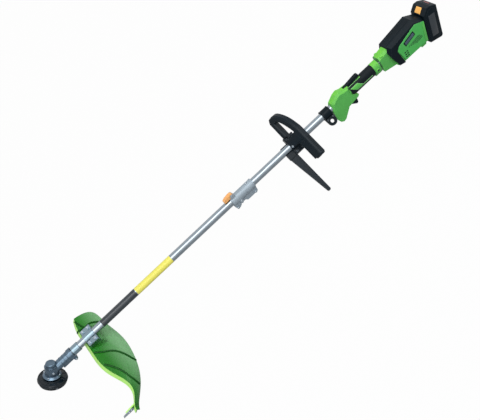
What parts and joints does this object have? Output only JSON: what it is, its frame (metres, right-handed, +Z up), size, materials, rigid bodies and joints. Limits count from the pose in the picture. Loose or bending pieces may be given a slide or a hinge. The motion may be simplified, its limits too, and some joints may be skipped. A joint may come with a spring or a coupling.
{
  "type": "string trimmer",
  "caption": "Cordless split-shaft string trimmer with angled gear head, bump-feed spool, side guard, loop handle with barrier bar, trigger grip and slide-on battery.",
  "frame": {"origin": "on the tube's axis, in its bare stretch between the yellow band and the coupling", "axes": "+X along the tube towards the battery, +Z up as held, -Y to the user's left"},
  "size_m": [1.9027, 0.366, 0.3267],
  "materials": {
    "bare_aluminium": "drawn and bare",
    "dark_film": "bare dark film",
    "yellow_film": "bare yellow film",
    "bright_steel": "zinc plated",
    "bush_rubber": "moulded",
    "gear_case_metal": "dark painted die casting",
    "cast_coupling": "as cast, tumbled",
    "orange_plastic": "moulded",
    "black_plastic": "moulded, fine texture",
    "line_nylon": "drawn nylon line",
    "guard_green": "see-through moulding",
    "green_plastic": "moulded",
    "grip_rubber": "soft overmould",
    "motor_iron": "laminated core with windings",
    "circuit_board": "lacquered board",
    "cell_wrap": "shrink wrap"
  },
  "bodies": {
    "tool": {"lower_tube": "bare_aluminium", "upper_tube": "bare_aluminium", "tube_collar": "bare_aluminium", "guard_clamp_upper": "bare_aluminium", "guard_clamp_lower": "bare_aluminium", "dark_band": "dark_film", "panel_plates": "dark_film", "yellow_band": "yellow_film", "spindle_bearings": "bright_steel", "shaft_bearings": "bright_steel", "guard_bolts": "bright_steel", "coupling_bolts": "bright_steel", "handle_bolts": "bright_steel", "m5_screws": "bright_steel", "housing_screws": "bright_steel", "line_cutter": "bright_steel", "trigger_spring": "bright_steel", "pivot_pins": "bright_steel", "shaft_bushes": "bush_rubber", "gear_case": "gear_case_metal", "gear_case_cap": "gear_case_metal", "coupling_body": "cast_coupling", "strap_hanger": "black_plastic", "loop_handle": "black_plastic", "barrier_clamp": "black_plastic", "housing_cover": "black_plastic", "battery_dock": "black_plastic", "switch_module": "black_plastic", "guard": "guard_green", "handle_left": "green_plastic", "handle_right": "green_plastic", "housing_left": "green_plastic", "housing_right": "green_plastic", "side_panel_left": "green_plastic", "side_panel_right": "green_plastic", "grip_sleeve": "grip_rubber", "switch_lead": "grip_rubber", "motor_stator": "motor_iron", "control_board": "circuit_board"},
    "drive_line": {"lower_drive_shaft": "bright_steel", "upper_drive_shaft": "bright_steel", "shaft_coupler": "bright_steel", "pinion": "bright_steel", "motor_rotor": "motor_iron", "cooling_fan": "black_plastic"},
    "cutting_head": {"spindle": "bright_steel", "bevel_gear": "bright_steel", "head_cover": "black_plastic", "head_base": "black_plastic", "line_eyelets": "bright_steel", "bump_spring": "bright_steel"},
    "bump_spool": {"line_spool": "black_plastic", "line_winding": "line_nylon", "bump_knob": "black_plastic"},
    "trigger": {"trigger": "black_plastic"},
    "lock_lever": {"lock_lever": "black_plastic"},
    "coupling_lever": {"coupling_lever": "orange_plastic"},
    "battery": {"battery_case": "black_plastic", "battery_cells": "cell_wrap"},
    "release_button": {"release_button": "orange_plastic"}
  },
  "joints": [
    {"name": "drive_spin", "type": "hinge", "parent": "tool", "child": "drive_line", "pos_m": [0, 0, 0], "axis": [1, 0, 0], "continuous": true},
    {"name": "head_spin", "type": "hinge", "parent": "tool", "child": "cutting_head", "pos_m": [-0.6615, 0, 0], "axis": [0.5779, 0, 0.8161], "continuous": true},
    {"name": "bump_press", "type": "slide", "parent": "cutting_head", "child": "bump_spool", "axis": [0.5779, 0, 0.8161], "range_m": [0, 0.006], "stiffness_N_per_m": 2500, "springref_m": -0.003, "deforming": ["bump_spring"]},
    {"name": "trigger_pull", "type": "hinge", "parent": "tool", "child": "trigger", "pos_m": [0.744, 0, -0.031], "axis": [0, -1, 0], "range_deg": [0, 16], "stiffness_Nm_per_rad": 0.6, "springref_deg": -8.59, "deforming": ["trigger_spring"]},
    {"name": "lock_press", "type": "hinge", "parent": "tool", "child": "lock_lever", "pos_m": [0.763, 0, 0.025], "axis": [0, 1, 0], "range_deg": [0, 6], "stiffness_Nm_per_rad": 0.8, "springref_deg": -8.59},
    {"name": "coupling_lift", "type": "hinge", "parent": "tool", "child": "coupling_lever", "pos_m": [0.216, 0, 0.0262], "axis": [0, 1, 0], "range_deg": [0, 25], "stiffness_Nm_per_rad": 0.4, "springref_deg": -8.59},
    {"name": "battery_slide", "type": "slide", "parent": "tool", "child": "battery", "axis": [0.1668, 0, 0.986], "range_m": [0, 0.07]},
    {"name": "button_press", "type": "slide", "parent": "battery", "child": "release_button", "axis": [0.649, 0, -0.7608], "range_m": [0, 0.003], "stiffness_N_per_m": 900, "springref_m": -0.002}
  ],
  "couplings": [
    {"joint": "head_spin", "follows": "drive_spin", "ratio": -0.73684}
  ]
}
